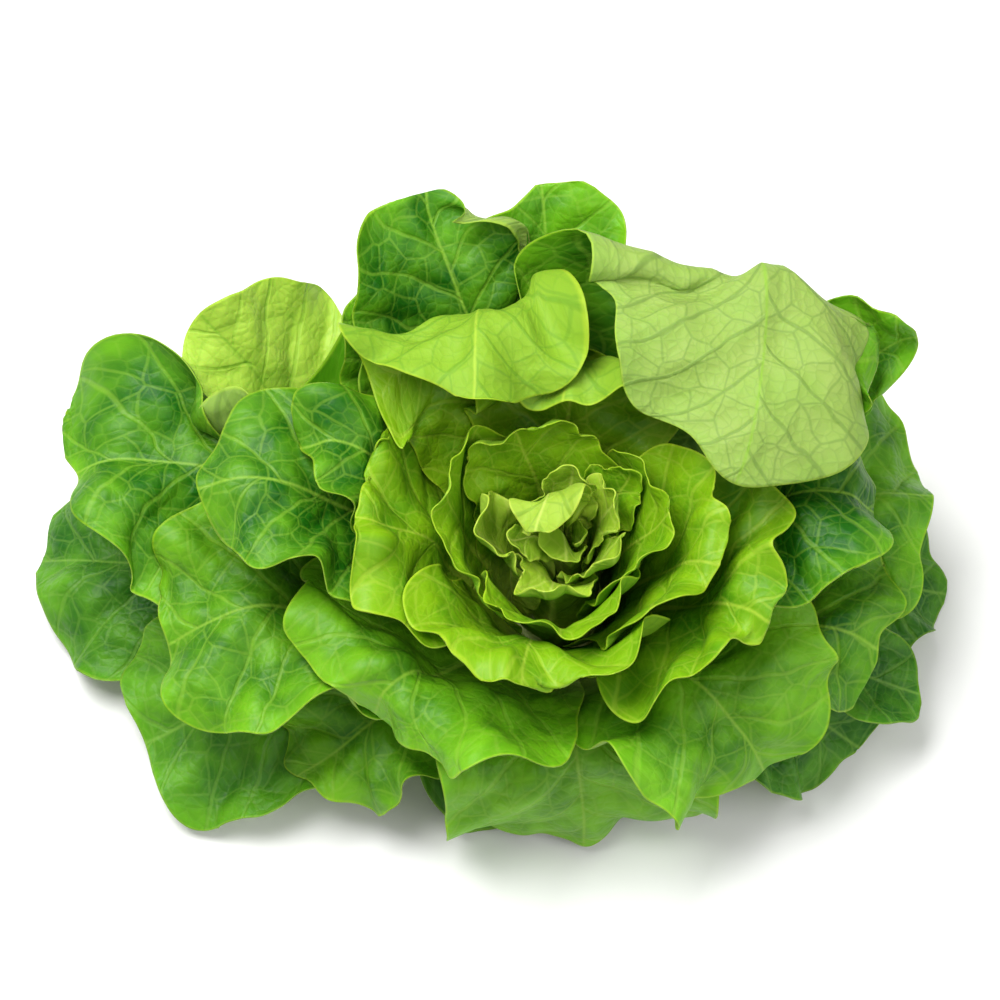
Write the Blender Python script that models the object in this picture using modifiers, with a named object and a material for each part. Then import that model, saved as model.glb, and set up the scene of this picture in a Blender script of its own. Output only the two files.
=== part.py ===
"""Head of butterhead lettuce, standing on its cut stem.

A short thick core carries every leaf. Each leaf is a thin sheet of its own: a flat outline that is laid
along a curved midrib and cupped across. Leaves are listed from the outermost to the innermost, and a leaf
always lies inside the ones listed before it.
"""

import math
from dataclasses import dataclass

import bmesh
import bpy
import numpy as np
from mathutils import Vector
from mathutils.bvhtree import BVHTree

# Driving dimensions, in millimetres. The midribs below are laid out for the three drawn sizes.
HEAD_WIDTH = 300.0
HEAD_DEPTH = 190.0
HEAD_HEIGHT = 125.0
DRAWN_WIDTH = 300.0
DRAWN_DEPTH = 190.0
DRAWN_HEIGHT = 125.0

CORE_HEIGHT = 48.0
CORE_RADIUS = 16.0
CUT_RADIUS = 14.0
CORE_TIP_RADIUS = 5.0

LEAF_THICKNESS = 0.8
LEAF_GAP = 1.4
LEAF_ROOM = LEAF_THICKNESS + LEAF_GAP
REST_HEIGHT = 0.5
ROOT_CLEARANCE = 1.5
LOWEST_ROOT = 2.5
ROOT_STEP = 3.2
FOOT_OVERLAP = 54.0

MM = 0.001
GRID_CELLS = 7
CORE_SIDES = 24
CORE_WELD = 0.01
RIB_STEPS = 96
BEND_STEPS = 16
BLADE_TOP_POWER = 2.3
BLADE_FOOT_POWER = 1.8
WIDEST_PLACE = 0.62
ROLLED_STRIP = 0.5
CURVE_POINTS = 24
SETTLE_ROUNDS = 48
ORDER_ROUNDS = 12
FIRM_ROUNDS = 5
ORDER_REACH = 0.35
CROSSING_REACH = 0.25


@dataclass
class Leaf:
    """One leaf: where it starts on the core, the points of its midrib after that, and how its blade bends.

    around: degrees round the core, 0 to the right and 90 to the back
    rib: points of the midrib (x, y, z) from the core to the tip
    half_width: of the blade where it is widest
    cup, cup_right: degrees that the blade turns inwards from midrib to margin at the foot, middle and tip
    roll_right: the same, for the margin on its right only
    turn: degrees that the blade's facing turns about the upright axis, from foot to tip
    point: how square (over 2) or pointed (under 2) the tip is
    foot: half the width of the stalk
    """

    name: str
    around: float
    rib: list
    half_width: float
    cup: tuple
    cup_right: tuple = None
    roll_right: tuple = (0.0, 0.0)
    turn: tuple = (0.0, 0.0)
    point: float = BLADE_TOP_POWER
    foot: float = 8.0


OUTER = (40, 20, 0)
OPEN = (60, 25, 0)
WRAPPER = (60, 30, 10)
UPRIGHT = (70, 50, 30)
RING = (80, 60, 30)
INNER_RING = (90, 80, 60)
HEART = (60, 65, 50)

LOW_LEAVES = [
    Leaf("far_left_leaf", 180, [(-60, 2, 16), (-110, 10, 26), (-150, 18, 20), (-170, 24, 5)], 44, OUTER),
    Leaf("far_right_leaf", 4, [(60, 4, 16), (98, 10, 20), (130, 14, 4)], 34, OUTER, point=1.7),
    Leaf("low_back_left_leaf", 118, [(-24, 40, 16), (-46, 76, 24), (-58, 98, 6)], 46, OUTER),
    Leaf("low_back_right_leaf", 62, [(24, 38, 16), (46, 72, 26), (60, 94, 6)], 44, OUTER),
    Leaf("low_left_leaf", 205, [(-50, -20, 14), (-98, -34, 20), (-138, -46, 6)], 38, (40, 25, 0)),
    Leaf("low_front_leaf", 250, [(-16, -36, 14), (-32, -52, 16), (-44, -62, 6)], 28, (40, 15, 0)),
    Leaf("low_right_leaf", -32, [(44, -24, 20), (74, -34, 24), (98, -42, 4)], 32, (40, 25, 0)),
    Leaf("rolled_right_leaf", -18, [(50, -16, 20), (90, -24, 28), (119, -30, 18)], 20, (60, 60, 60)),
]
WRAPPER_LEAVES = [
    Leaf("back_left_pale_leaf", 150, [(-50, 32, 22), (-88, 62, 58), (-111, 80, 92)], 38, (60, 30, 20)),
    Leaf(
        "big_left_leaf", 170, [(-50, 12, 26), (-100, 28, 54), (-140, 34, 66), (-160, 30, 58)], 50,
        (60, 10, -5), cup_right=(60, 40, 20),
    ),
    Leaf(
        "pointed_front_leaf", 224, [(-38, -32, 28), (-64, -48, 34), (-84, -62, 12)],
        30, (50, 20, 0), point=1.6,
    ),
    Leaf("big_right_leaf", 14, [(55, 14, 28), (95, 24, 56), (121, 26, 48)], 50, OPEN),
    Leaf(
        "back_right_curled_leaf", 32, [(40, 26, 32), (76, 50, 70), (100, 62, 90), (112, 58, 102)], 26,
        (60, 30, 20), turn=(0, 10, 20),
    ),
    Leaf(
        "left_leaf", 196, [(-45, -10, 28), (-86, -16, 58), (-114, -22, 58), (-130, -26, 46)],
        44, (60, 30, 0),
    ),
    Leaf(
        "front_leaf", 274, [(2, -32, 36), (4, -50, 52), (6, -66, 48), (8, -74, 26), (8, -72, 6)],
        45, (60, 20, 0),
    ),
    Leaf("right_leaf", -18, [(45, -12, 34), (82, -22, 56), (106, -30, 46)], 36, WRAPPER),
    Leaf("back_left_leaf", 140, [(-34, 30, 38), (-62, 54, 78), (-84, 74, 98)], 46, (60, 35, 20)),
    Leaf("back_left_narrow_leaf", 124, [(-22, 36, 42), (-46, 70, 92), (-58, 84, 110)], 34, (60, 35, 20)),
    Leaf(
        "front_right_leaf", -50, [(26, -30, 40), (46, -46, 62), (60, -58, 54), (66, -63, 36)],
        42, (60, 20, 0),
    ),
    Leaf(
        "front_left_leaf", 228, [(-28, -28, 42), (-46, -44, 70), (-56, -52, 74), (-62, -58, 66)],
        52, (70, 30, 0),
    ),
    Leaf("dark_right_leaf", 10, [(40, 8, 42), (68, 12, 78), (92, 13, 84), (104, 12, 74)], 38, WRAPPER),
    Leaf("back_leaf", 89, [(0, 40, 44), (0, 80, 88), (-1, 100, 112), (-1, 107, 118)], 36, UPRIGHT),
    Leaf(
        "tall_back_leaf", 112, [(-14, 36, 46), (-32, 76, 90), (-42, 96, 112), (-42, 98, 116)], 44, UPRIGHT,
        roll_right=(0, 0, 90),
    ),
    Leaf("dark_left_leaf", 176, [(-40, 4, 46), (-70, 10, 84), (-98, 12, 95), (-114, 10, 88)], 34, WRAPPER),
    Leaf(
        "folded_back_right_leaf", 52,
        [(26, 32, 54), (50, 58, 98), (58, 69, 114), (60, 59, 125), (61, 36, 124), (58, 11, 117)], 42,
        (60, 20, 5), cup_right=(60, 40, 60), turn=(0, 20, 38, 38, 38), point=1.8,
    ),
    Leaf(
        "small_left_leaf", 162, [(-32, 12, 52), (-56, 20, 88), (-74, 24, 103), (-86, 24, 102)],
        24, WRAPPER,
    ),
]
RING_LEAVES = [
    Leaf(
        "outer_ring_right_leaf", -24, [(34, -14, 54), (50, -24, 80), (60, -30, 91), (66, -34, 93)],
        46, (65, 45, 20),
    ),
    Leaf(
        "outer_ring_left_leaf", 184, [(-32, -2, 56), (-48, -2, 86), (-58, -4, 100), (-66, -4, 102)],
        44, RING,
    ),
    Leaf(
        "outer_ring_front_leaf", 262, [(-6, -30, 56), (-10, -44, 84), (-12, -54, 97), (-12, -60, 97)],
        44, RING,
    ),
    Leaf(
        "folded_back_leaf", 108,
        [(-12, 42, 62), (-23, 62, 94), (-25, 66, 110), (-26, 56, 121), (-28, 40, 121), (-29, 28, 115)], 42,
        (70, 25, 10),
    ),
    Leaf(
        "folded_inner_back_leaf", 86,
        [(2, 36, 64), (4, 48, 88), (4, 50, 101), (3, 44, 110), (1, 33, 112)],
        30, (70, 30, 15),
    ),
    Leaf(
        "middle_ring_right_leaf", -14, [(26, -8, 60), (38, -12, 84), (45, -16, 96), (51, -18, 98)],
        40, RING,
    ),
    Leaf("inner_ring_left_leaf", 172, [(-26, 2, 64), (-35, 4, 90), (-38, 4, 105)], 34, INNER_RING),
    Leaf("inner_ring_front_leaf", 276, [(0, -26, 64), (0, -36, 88), (0, -42, 99)], 34, INNER_RING),
    Leaf("inner_ring_right_leaf", 2, [(22, 0, 66), (31, 0, 88), (35, 0, 98)], 29, INNER_RING),
    Leaf(
        "inner_ring_back_leaf", 98, [(-6, 22, 68), (-12, 31, 86), (-14, 32, 95), (-15, 28, 102)],
        28, (80, 50, 30),
    ),
    Leaf("inner_ring_back_right_leaf", 46, [(17, 16, 66), (27, 24, 81), (27, 24, 89)], 15, INNER_RING),
]
HEART_LEAVES = [
    Leaf("heart_left_leaf", 196, [(-16, -2, 70), (-25, -2, 88), (-25, -2, 98)], 16, HEART, foot=5),
    Leaf("heart_front_leaf", 262, [(-2, -14, 70), (-4, -24, 84), (-5, -25, 93)], 15, HEART, foot=5),
    Leaf("heart_front_right_leaf", -38, [(10, -8, 70), (16, -13, 86), (16, -13, 93)], 12, HEART, foot=5),
    Leaf("heart_right_leaf", 18, [(12, 5, 72), (19, 9, 88), (18, 9, 95)], 13, HEART, foot=5),
    Leaf("heart_back_leaf", 80, [(2, 12, 72), (4, 17, 87), (4, 16, 95)], 12, HEART, foot=5),
    Leaf("heart_inner_left_leaf", 205, [(-7, -3, 72), (-13, -5, 84), (-15, -6, 92)], 8, HEART, foot=4),
    Leaf("heart_inner_front_leaf", 285, [(0, -6, 72), (2, -12, 84), (2, -14, 90)], 8, HEART, foot=4),
    Leaf("heart_inner_right_leaf", -10, [(6, -3, 71), (8, -6, 80), (8, -7, 86)], 5, HEART, foot=3),
    Leaf(
        "heart_hood_leaf", 120, [(-2, 5, 72), (-3, 9, 88), (-4, 5, 99), (-8, -7, 101)],
        13, (60, 40, 30), foot=4,
    ),
]

# Colours as sRGB: the upper face of each group of leaves, and of the core.
LOW_COLOUR = "#37702a"
WRAPPER_COLOUR = "#549a28"
RING_COLOUR = "#7fb31f"
HEART_COLOUR = "#a3bd4a"
CORE_COLOUR = "#dfe3b8"


def linear(code):
    """The linear colour of an sRGB code such as #549a28."""
    channels = [int(code[start:start + 2], 16) / 255 for start in (1, 3, 5)]
    return [c / 12.92 if c <= 0.04045 else ((c + 0.055) / 1.055) ** 2.4 for c in channels] + [1.0]


def plant_material(name, code, roughness):
    material = bpy.data.materials.new(name)
    material.use_nodes = True
    shader = material.node_tree.nodes["Principled BSDF"]
    shader.inputs["Base Color"].default_value = linear(code)
    shader.inputs["Roughness"].default_value = roughness
    shader.inputs["Metallic"].default_value = 0.0
    return material


def eased(share):
    share = np.clip(share, 0, 1)
    return share * share * (3 - 2 * share)


def along(stations, share):
    """A value given at even stations from foot to tip, read at these shares of the length."""
    return np.interp(share, np.linspace(0, 1, len(stations)), stations)


def scaled(point):
    size = (HEAD_WIDTH / DRAWN_WIDTH, HEAD_DEPTH / DRAWN_DEPTH, HEAD_HEIGHT / DRAWN_HEIGHT)
    return [value * factor for value, factor in zip(point, size)]


def core_outline():
    """Radius and height pairs of the core, from its cut face to its growing tip."""
    return [
        (CUT_RADIUS, 0.0),
        (CORE_RADIUS, 0.2 * CORE_HEIGHT),
        (0.95 * CORE_RADIUS, 0.5 * CORE_HEIGHT),
        (0.7 * CORE_RADIUS, 0.75 * CORE_HEIGHT),
        (CORE_TIP_RADIUS, CORE_HEIGHT),
    ]


def core_radius(height):
    radii, heights = zip(*core_outline())
    return np.interp(height, heights, radii, right=0.0)


def root_heights(leaves):
    """Where each leaf starts on the core: a step above every earlier leaf whose foot it overlaps."""
    heights = []
    for leaf in leaves:
        below = [LOWEST_ROOT - ROOT_STEP]
        for earlier, height in zip(leaves, heights):
            apart = abs((leaf.around - earlier.around + 180) % 360 - 180)
            if apart < FOOT_OVERLAP:
                below.append(height)
        heights.append(max(below) + ROOT_STEP)
    return heights


def midrib(leaf, root):
    """Evenly spaced points of the midrib, a smooth curve through the leaf's points, and its length."""
    angle = math.radians(leaf.around)
    reach = core_radius(root) + ROOT_CLEARANCE
    points = [[reach * math.cos(angle), reach * math.sin(angle), root]]
    points += [scaled(point) for point in leaf.rib]
    points = np.array(points, float)
    points = np.vstack([2 * points[0] - points[1], points, 2 * points[-1] - points[-2]])
    t = np.linspace(0, 1, CURVE_POINTS, endpoint=False)[:, None]
    curve = []
    for a, b, c, d in zip(points, points[1:], points[2:], points[3:]):
        curve.append(b + 0.5 * t * (c - a + t * (2 * a - 5 * b + 4 * c - d + t * (3 * b - a - 3 * c + d))))
    curve = np.vstack(curve + [points[-2][None]])
    travelled = np.r_[0, np.cumsum(np.linalg.norm(np.diff(curve, axis=0), axis=1))]
    even = np.linspace(0, travelled[-1], RIB_STEPS)
    return np.stack([np.interp(even, travelled, curve[:, k]) for k in range(3)], axis=1), travelled[-1]


def margin_distance(leaf, angle, length, middle, width):
    """How far the margin is from the blade's middle, for an angle that is 0 towards the tip."""
    forward, aside = np.cos(angle), np.maximum(np.abs(np.sin(angle)), 1e-6)
    top, foot = length - middle, middle
    upper = ((aside / width) ** leaf.point + np.abs(forward / top) ** leaf.point) ** (-1 / leaf.point)
    power = BLADE_FOOT_POWER
    lower = ((aside / width) ** power + np.abs(forward / foot) ** power) ** (-1 / power)
    stalk = np.minimum(leaf.foot / aside, foot / np.maximum(-forward, 1e-6))
    lower = np.where(forward < -0.2, np.maximum(lower, stalk), lower)
    return np.where(forward > 0, upper, lower)


def blade(leaf, root, across, up):
    """The leaf's surface at pattern places in a square from -1 to 1 each way: (n, 3) points."""
    rib, length = midrib(leaf, root)
    middle = WIDEST_PLACE * length
    width = leaf.half_width * 0.5 * (HEAD_WIDTH / DRAWN_WIDTH + HEAD_DEPTH / DRAWN_DEPTH)
    x = across * np.sqrt(1 - up * up / 2)
    y = up * np.sqrt(1 - across * across / 2)
    out, angle = np.hypot(x, y), np.arctan2(x, y)
    reach = out * margin_distance(leaf, angle, length, middle, width)
    aside, ahead = reach * np.sin(angle), np.clip(middle + reach * np.cos(angle), 0, length)
    share = ahead / length
    turns = np.linspace(0, math.pi, 181)
    edge = margin_distance(leaf, turns, length, middle, width)
    order = np.argsort(middle + edge * np.cos(turns))
    local = np.interp(ahead, (middle + edge * np.cos(turns))[order], (edge * np.sin(turns))[order])

    steps = np.linspace(0, 1, RIB_STEPS)
    forward = np.gradient(rib, axis=0)
    forward /= np.linalg.norm(forward, axis=1, keepdims=True)
    facing = np.radians(leaf.around + along(leaf.turn, steps))
    right = np.stack([np.sin(facing), -np.cos(facing), np.zeros(RIB_STEPS)], axis=1)
    right -= forward * (right * forward).sum(axis=1, keepdims=True)
    right /= np.linalg.norm(right, axis=1, keepdims=True)
    inward = np.cross(right, forward)

    def on_rib(values):
        return np.stack([np.interp(share, steps, values[:, k]) for k in range(3)], axis=1)

    on_right = aside > 0
    cup_right = leaf.cup_right or leaf.cup
    bend = np.radians(np.where(on_right, along(cup_right, share), along(leaf.cup, share))) / width
    roll = np.radians(np.where(on_right, along(leaf.roll_right, share), 0.0))
    roll_zone = ROLLED_STRIP * width
    spread, rise = np.zeros(len(aside)), np.zeros(len(aside))
    step = np.abs(aside) / BEND_STEPS
    for k in range(BEND_STEPS):
        place = step * (k + 0.5)
        tilt = bend * place + roll * (eased(1 - (local - place) / roll_zone) - eased(1 - local / roll_zone))
        spread += np.cos(tilt) * step
        rise += np.sin(tilt) * step
    return on_rib(rib) + on_rib(right) * (np.sign(aside) * spread)[:, None] + on_rib(inward) * rise[:, None]


def leaf_sheet():
    """A square sheet of triangles from -1 to 1, which every leaf is bent from."""
    sheet = bmesh.new()
    bmesh.ops.create_grid(sheet, x_segments=GRID_CELLS, y_segments=GRID_CELLS, size=1.0)
    bmesh.ops.triangulate(sheet, faces=sheet.faces[:], quad_method="FIXED")
    sheet.verts.ensure_lookup_table()
    return sheet


class Sampler:
    """Places on a sheet where it is kept clear of its neighbours: corners, edge middles and face middles."""

    def __init__(self, sheet):
        self.faces = [tuple(vert.index for vert in face.verts) for face in sheet.faces]
        corners = [(vert.index,) * 3 for vert in sheet.verts]
        for edge in sheet.edges:
            first, second = (vert.index for vert in edge.verts)
            corners.append((first, first, second))
            corners.append((first, second, second))
        corners += self.faces
        self.corners = np.array(corners)
        self.neighbours = [[edge.other_vert(vert).index for edge in vert.link_edges] for vert in sheet.verts]

    def places(self, points):
        return points[self.corners].mean(axis=1)

    def to_corners(self, moves, count):
        """Each corner's share of the moves that its places ask for."""
        asked = (np.abs(moves).sum(axis=1) > 0).astype(float)
        total, weight = np.zeros((count, 3)), np.zeros(count)
        for column in range(3):
            np.add.at(total, self.corners[:, column], moves / 3)
            np.add.at(weight, self.corners[:, column], asked / 3)
        return total / np.maximum(weight, 0.5)[:, None]

    def eased(self, moves):
        nearby = [moves[near].mean(axis=0) for near in self.neighbours]
        return 0.5 * moves + 0.5 * np.array(nearby)


def clearing_moves(places, trees, moved, still, wanted, reach, box, moves):
    """Adds what takes one leaf's places to the wanted side of another: 1 inwards, -1 outwards, 0 either."""
    total, count = moves[moved]
    nearest = trees[still].find_nearest
    close = np.nonzero(((places[moved] > box[0]) & (places[moved] < box[1])).all(axis=1))[0]
    for k in close.tolist():
        place = Vector(places[moved][k])
        spot, normal, _, distance = nearest(place, reach)
        if spot is None:
            continue
        height = (place - spot).dot(normal)
        side = wanted or math.copysign(1.0, height)
        missing = LEAF_ROOM - side * height
        beyond = math.sqrt(max(distance ** 2 - height ** 2, 0.0))
        if missing <= 0 or (distance >= LEAF_ROOM and beyond > 0.35 * abs(height) + 0.6):
            continue
        total[k] += normal * (0.6 * side * missing)
        count[k] += 1


def settle(sheets, half_widths, sampler):
    """Moves the leaves off each other until none touches another, the core or the surface below."""
    grown = [points.copy() for points in sheets]
    count = len(grown[0])
    for turn in range(SETTLE_ROUNDS):
        trees = [BVHTree.FromPolygons(points.tolist(), sampler.faces) for points in sheets]
        low = [points.min(axis=0) - LEAF_ROOM for points in sheets]
        high = [points.max(axis=0) + LEAF_ROOM for points in sheets]
        places = [sampler.places(points) for points in sheets]
        moves = [(np.zeros((len(sampler.corners), 3)), np.zeros(len(sampler.corners))) for _ in sheets]
        touching = 0
        for i in range(len(sheets)):
            for j in range(i + 1, len(sheets)):
                if (low[i] > high[j]).any() or (low[j] > high[i]).any():
                    continue
                crossing = bool(trees[i].overlap(trees[j]))
                touching += crossing
                in_order = crossing or turn < ORDER_ROUNDS
                share = ORDER_REACH if turn < ORDER_ROUNDS else CROSSING_REACH if crossing else 0.0
                for moved, still, wanted in ((j, i, 1.0), (i, j, -1.0)):
                    reach = max(LEAF_ROOM, share * half_widths[still])
                    box = (low[still], high[still])
                    clearing_moves(places, trees, moved, still, wanted * in_order, reach, box, moves)
        for k, points in enumerate(sheets):
            core_moves(places[k], *moves[k])
            asked = moves[k][0] / np.maximum(moves[k][1], 1)[:, None]
            push = sampler.to_corners(asked, count)
            shift = points - grown[k]
            if turn < SETTLE_ROUNDS - FIRM_ROUNDS:
                shift = shift + sampler.eased(sampler.eased(push)) * 1.2
                shift = 0.5 * shift + 0.5 * sampler.eased(shift)
            else:
                shift = shift + push
            sheets[k] = clear_of_core(grown[k] + shift)
        print("settling", turn, "pairs crossing", touching)
    return sheets


def core_moves(places, total, count):
    """Adds what takes a leaf's places out of the core, where its flat faces would cut the round core."""
    distance = np.hypot(places[:, 0], places[:, 1])
    missing = core_radius(places[:, 2]) + ROOT_CLEARANCE - distance
    deep = (missing > 0) & (places[:, 2] < CORE_HEIGHT + ROOT_CLEARANCE)
    outward = places[deep, :2] / np.maximum(distance[deep], 1e-6)[:, None]
    total[deep, :2] += outward * missing[deep, None]
    count[deep] += 1


def clear_of_core(points):
    points[:, 2] = np.maximum(points[:, 2], REST_HEIGHT)
    distance = np.hypot(points[:, 0], points[:, 1])
    least = core_radius(points[:, 2]) + ROOT_CLEARANCE
    close = (distance < least) & (points[:, 2] < CORE_HEIGHT + ROOT_CLEARANCE)
    points[close, :2] *= (least / np.maximum(distance, 1e-6))[close, None]
    return points


def leaf_object(leaf, sheet, points, material, collection):
    mesh = bpy.data.meshes.new(leaf.name)
    sheet.to_mesh(mesh)
    mesh.vertices.foreach_set("co", (points * MM).ravel())
    mesh.materials.append(material)
    mesh.update()
    leaf_body = bpy.data.objects.new(leaf.name, mesh)
    collection.objects.link(leaf_body)
    solid = leaf_body.modifiers.new("thickness", "SOLIDIFY")
    solid.thickness = LEAF_THICKNESS * MM
    solid.offset = 0.0
    return leaf_body


def core_object(material, collection):
    """The core, a turned solid: its outline swept once round the upright axis."""
    outline = bmesh.new()
    profile = [(0.0, 0.0)] + core_outline() + [(0.0, CORE_HEIGHT + 0.4 * CORE_TIP_RADIUS)]
    corners = [outline.verts.new((radius * MM, 0.0, height * MM)) for radius, height in profile]
    for lower, upper in zip(corners, corners[1:]):
        outline.edges.new((lower, upper))
    mesh = bpy.data.meshes.new("core")
    outline.to_mesh(mesh)
    outline.free()
    mesh.materials.append(material)
    core = bpy.data.objects.new("core", mesh)
    collection.objects.link(core)
    turned = core.modifiers.new("turned", "SCREW")
    turned.steps = CORE_SIDES
    turned.render_steps = CORE_SIDES
    turned.use_merge_vertices = True
    turned.merge_threshold = CORE_WELD * MM
    turned.use_normal_calculate = True
    return core


def main():
    for old in list(bpy.data.objects):
        bpy.data.objects.remove(old)
    collection = bpy.data.collections.new("head_of_lettuce")
    bpy.context.scene.collection.children.link(collection)

    core_object(plant_material("core_flesh", CORE_COLOUR, 0.6), collection)
    groups = [
        (LOW_LEAVES, plant_material("low_leaf", LOW_COLOUR, 0.45)),
        (WRAPPER_LEAVES, plant_material("wrapper_leaf", WRAPPER_COLOUR, 0.4)),
        (RING_LEAVES, plant_material("ring_leaf", RING_COLOUR, 0.4)),
        (HEART_LEAVES, plant_material("heart_leaf", HEART_COLOUR, 0.45)),
    ]
    leaves = [(leaf, material) for group, material in groups for leaf in group]
    sheet = leaf_sheet()
    flat = np.array([vert.co[:2] for vert in sheet.verts])
    roots = root_heights([leaf for leaf, _ in leaves])
    sheets = [blade(leaf, root, flat[:, 0], flat[:, 1]) for (leaf, _), root in zip(leaves, roots)]
    sheets = settle(sheets, [leaf.half_width for leaf, _ in leaves], Sampler(sheet))
    for (leaf, material), points in zip(leaves, sheets):
        leaf_object(leaf, sheet, points, material, collection)
    sheet.free()


main()
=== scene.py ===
import math
from dataclasses import dataclass

import bmesh
import bpy
import numpy as np
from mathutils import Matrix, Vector
from mathutils.bvhtree import BVHTree


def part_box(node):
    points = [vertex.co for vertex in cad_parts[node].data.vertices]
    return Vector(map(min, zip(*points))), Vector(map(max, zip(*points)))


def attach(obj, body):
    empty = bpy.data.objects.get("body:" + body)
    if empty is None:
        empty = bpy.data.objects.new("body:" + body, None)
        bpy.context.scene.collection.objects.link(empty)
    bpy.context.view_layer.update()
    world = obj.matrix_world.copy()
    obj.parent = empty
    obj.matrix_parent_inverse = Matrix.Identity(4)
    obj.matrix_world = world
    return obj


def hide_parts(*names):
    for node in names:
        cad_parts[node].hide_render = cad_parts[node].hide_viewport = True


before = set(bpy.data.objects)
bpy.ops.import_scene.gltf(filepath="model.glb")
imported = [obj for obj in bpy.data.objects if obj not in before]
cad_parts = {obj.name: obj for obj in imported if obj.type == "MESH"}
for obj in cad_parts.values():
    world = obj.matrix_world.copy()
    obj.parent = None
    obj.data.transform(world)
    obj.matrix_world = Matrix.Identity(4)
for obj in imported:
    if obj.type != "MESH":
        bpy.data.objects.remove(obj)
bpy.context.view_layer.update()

# ---- The core: the short stem inside the head.
# Crisp pale green flesh, wider where the leaves join it, cut straight across with a knife at harvest.
# The leaves grow from its side in a spiral, and each one leaves a low ridge round it.

MM = 0.001
core_low, core_high = (np.array(corner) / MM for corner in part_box("core"))
CORE_RADIUS = 0.5 * (core_high[0] - core_low[0])
TIP_INSIDE = 2.0
CORE_HEIGHT = core_high[2] - TIP_INSIDE
CORE_FLESH = "#d3dca2"
CORE_SKIN = "#b9cc7c"
CUT_BROWN = "#b98a52"
FIBRE_STEP = 1.2
BLOTCH_SIZE = 9


def core_radius(height):
    shares = [0.875, 1.0, 0.95, 0.7, 0.31]
    return CORE_RADIUS * np.interp(height / CORE_HEIGHT, [0, 0.2, 0.5, 0.75, 1.0], shares, right=0.0)


def linear(code):
    """The linear colour of an sRGB hex code."""
    channels = [int(code[start:start + 2], 16) / 255 for start in (1, 3, 5)]
    return [c / 12.92 if c <= 0.04045 else ((c + 0.055) / 1.055) ** 2.4 for c in channels] + [1.0]


def add(tree, kind, inputs=None, **settings):
    """Adds a node with its settings; each input takes a plain value or the socket that feeds it."""
    node = tree.nodes.new(kind)
    for name, value in settings.items():
        setattr(node, name, value)
    for name, value in (inputs or {}).items():
        if isinstance(value, bpy.types.NodeSocket):
            tree.links.new(value, node.inputs[name])
        else:
            node.inputs[name].default_value = value
    return node


def eased(share):
    share = np.clip(share, 0, 1)
    return share * share * (3 - 2 * share)


def plain_material(name):
    """An empty Principled material: its tree and its shader."""
    material = bpy.data.materials.new(name)
    material.use_nodes = True
    return material, material.node_tree, material.node_tree.nodes["Principled BSDF"]


# Lettuce stem flesh: moist and faintly translucent, with fine lengthwise fibres about 1.2 mm apart.
# The cut face has dried a little, so it shows a brown ring where the milky sap has oxidised.
core_flesh, tree, shader = plain_material("lettuce_stem_flesh")
place = add(tree, "ShaderNodeTexCoord").outputs["Object"]
stretched = add(tree, "ShaderNodeMapping", {"Vector": place, "Scale": (1.0, 1.0, 0.12)}).outputs["Vector"]
fibres = add(tree, "ShaderNodeTexNoise", {"Vector": stretched, "Scale": 1 / (FIBRE_STEP * MM), "Detail": 3.0})
blotches = add(tree, "ShaderNodeTexNoise", {"Vector": place, "Scale": 1 / (BLOTCH_SIZE * MM), "Detail": 2.0})
ring = add(tree, "ShaderNodeAttribute", attribute_name="cut_ring")
skin = add(
    tree, "ShaderNodeMix",
    {0: fibres.outputs[0], 6: linear(CORE_FLESH), 7: linear(CORE_SKIN)}, data_type="RGBA",
)
dried = add(
    tree, "ShaderNodeMath",
    {0: ring.outputs["Fac"], 1: blotches.outputs[0]}, operation="MULTIPLY", use_clamp=True,
)
skin = add(
    tree, "ShaderNodeMix", {0: dried.outputs[0], 6: skin.outputs[2], 7: linear(CUT_BROWN)}, data_type="RGBA",
)
tree.links.new(skin.outputs[2], shader.inputs["Base Color"])
bump = add(tree, "ShaderNodeBump", {"Height": fibres.outputs[0], "Strength": 0.5, "Distance": 0.4 * MM})
tree.links.new(bump.outputs[0], shader.inputs["Normal"])
shader.inputs["Roughness"].default_value = 0.42
shader.inputs["IOR"].default_value = 1.4
shader.inputs["Subsurface Weight"].default_value = 0.3
shader.inputs["Subsurface Radius"].default_value = (1.0, 1.0, 0.5)
shader.inputs["Subsurface Scale"].default_value = 2 * MM

CORE_SIDES = 96
cut_rings = [(share, 0.0) for share in (0.12, 0.3, 0.5, 0.7, 0.85, 0.96)]
side_rings = [(1.0, height) for height in np.linspace(0.4, CORE_HEIGHT, 44)]
core_mesh = bmesh.new()
ring_layer = core_mesh.verts.layers.float.new("cut_ring")
rows = []
for share, height in cut_rings + side_rings:
    row = []
    for side in range(CORE_SIDES):
        turn = 2 * math.pi * side / CORE_SIDES
        ridge = 0.35 * math.sin(height * 1.9 + 3 * turn) + 0.2 * math.sin(5 * turn + 0.4 * height)
        radius = share * (float(core_radius(height)) + (ridge if height > 1 else 0.0))
        dish = 0.6 * (1 - share * share) if height == 0 else height
        vert = core_mesh.verts.new((radius * math.cos(turn) * MM, radius * math.sin(turn) * MM, dish * MM))
        vert[ring_layer] = 1.6 * math.exp(-((share - 0.8) / 0.14) ** 2) + 0.5 if height == 0 else 0.0
        row.append(vert)
    rows.append(row)
for inner, outer in zip(rows, rows[1:]):
    for side in range(CORE_SIDES):
        after = (side + 1) % CORE_SIDES
        core_mesh.faces.new((inner[side], inner[after], outer[after], outer[side]))
core_mesh.faces.new(rows[0][::-1])
core_mesh.faces.new(rows[-1])
bmesh.ops.recalc_face_normals(core_mesh, faces=core_mesh.faces[:])
mesh = bpy.data.meshes.new("core_stem")
core_mesh.to_mesh(mesh)
core_mesh.free()
mesh.materials.append(core_flesh)
mesh.shade_smooth()
core_stem = bpy.data.objects.new("core_stem", mesh)
bpy.context.scene.collection.objects.link(core_stem)
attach(core_stem, "root")
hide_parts("core")

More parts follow.
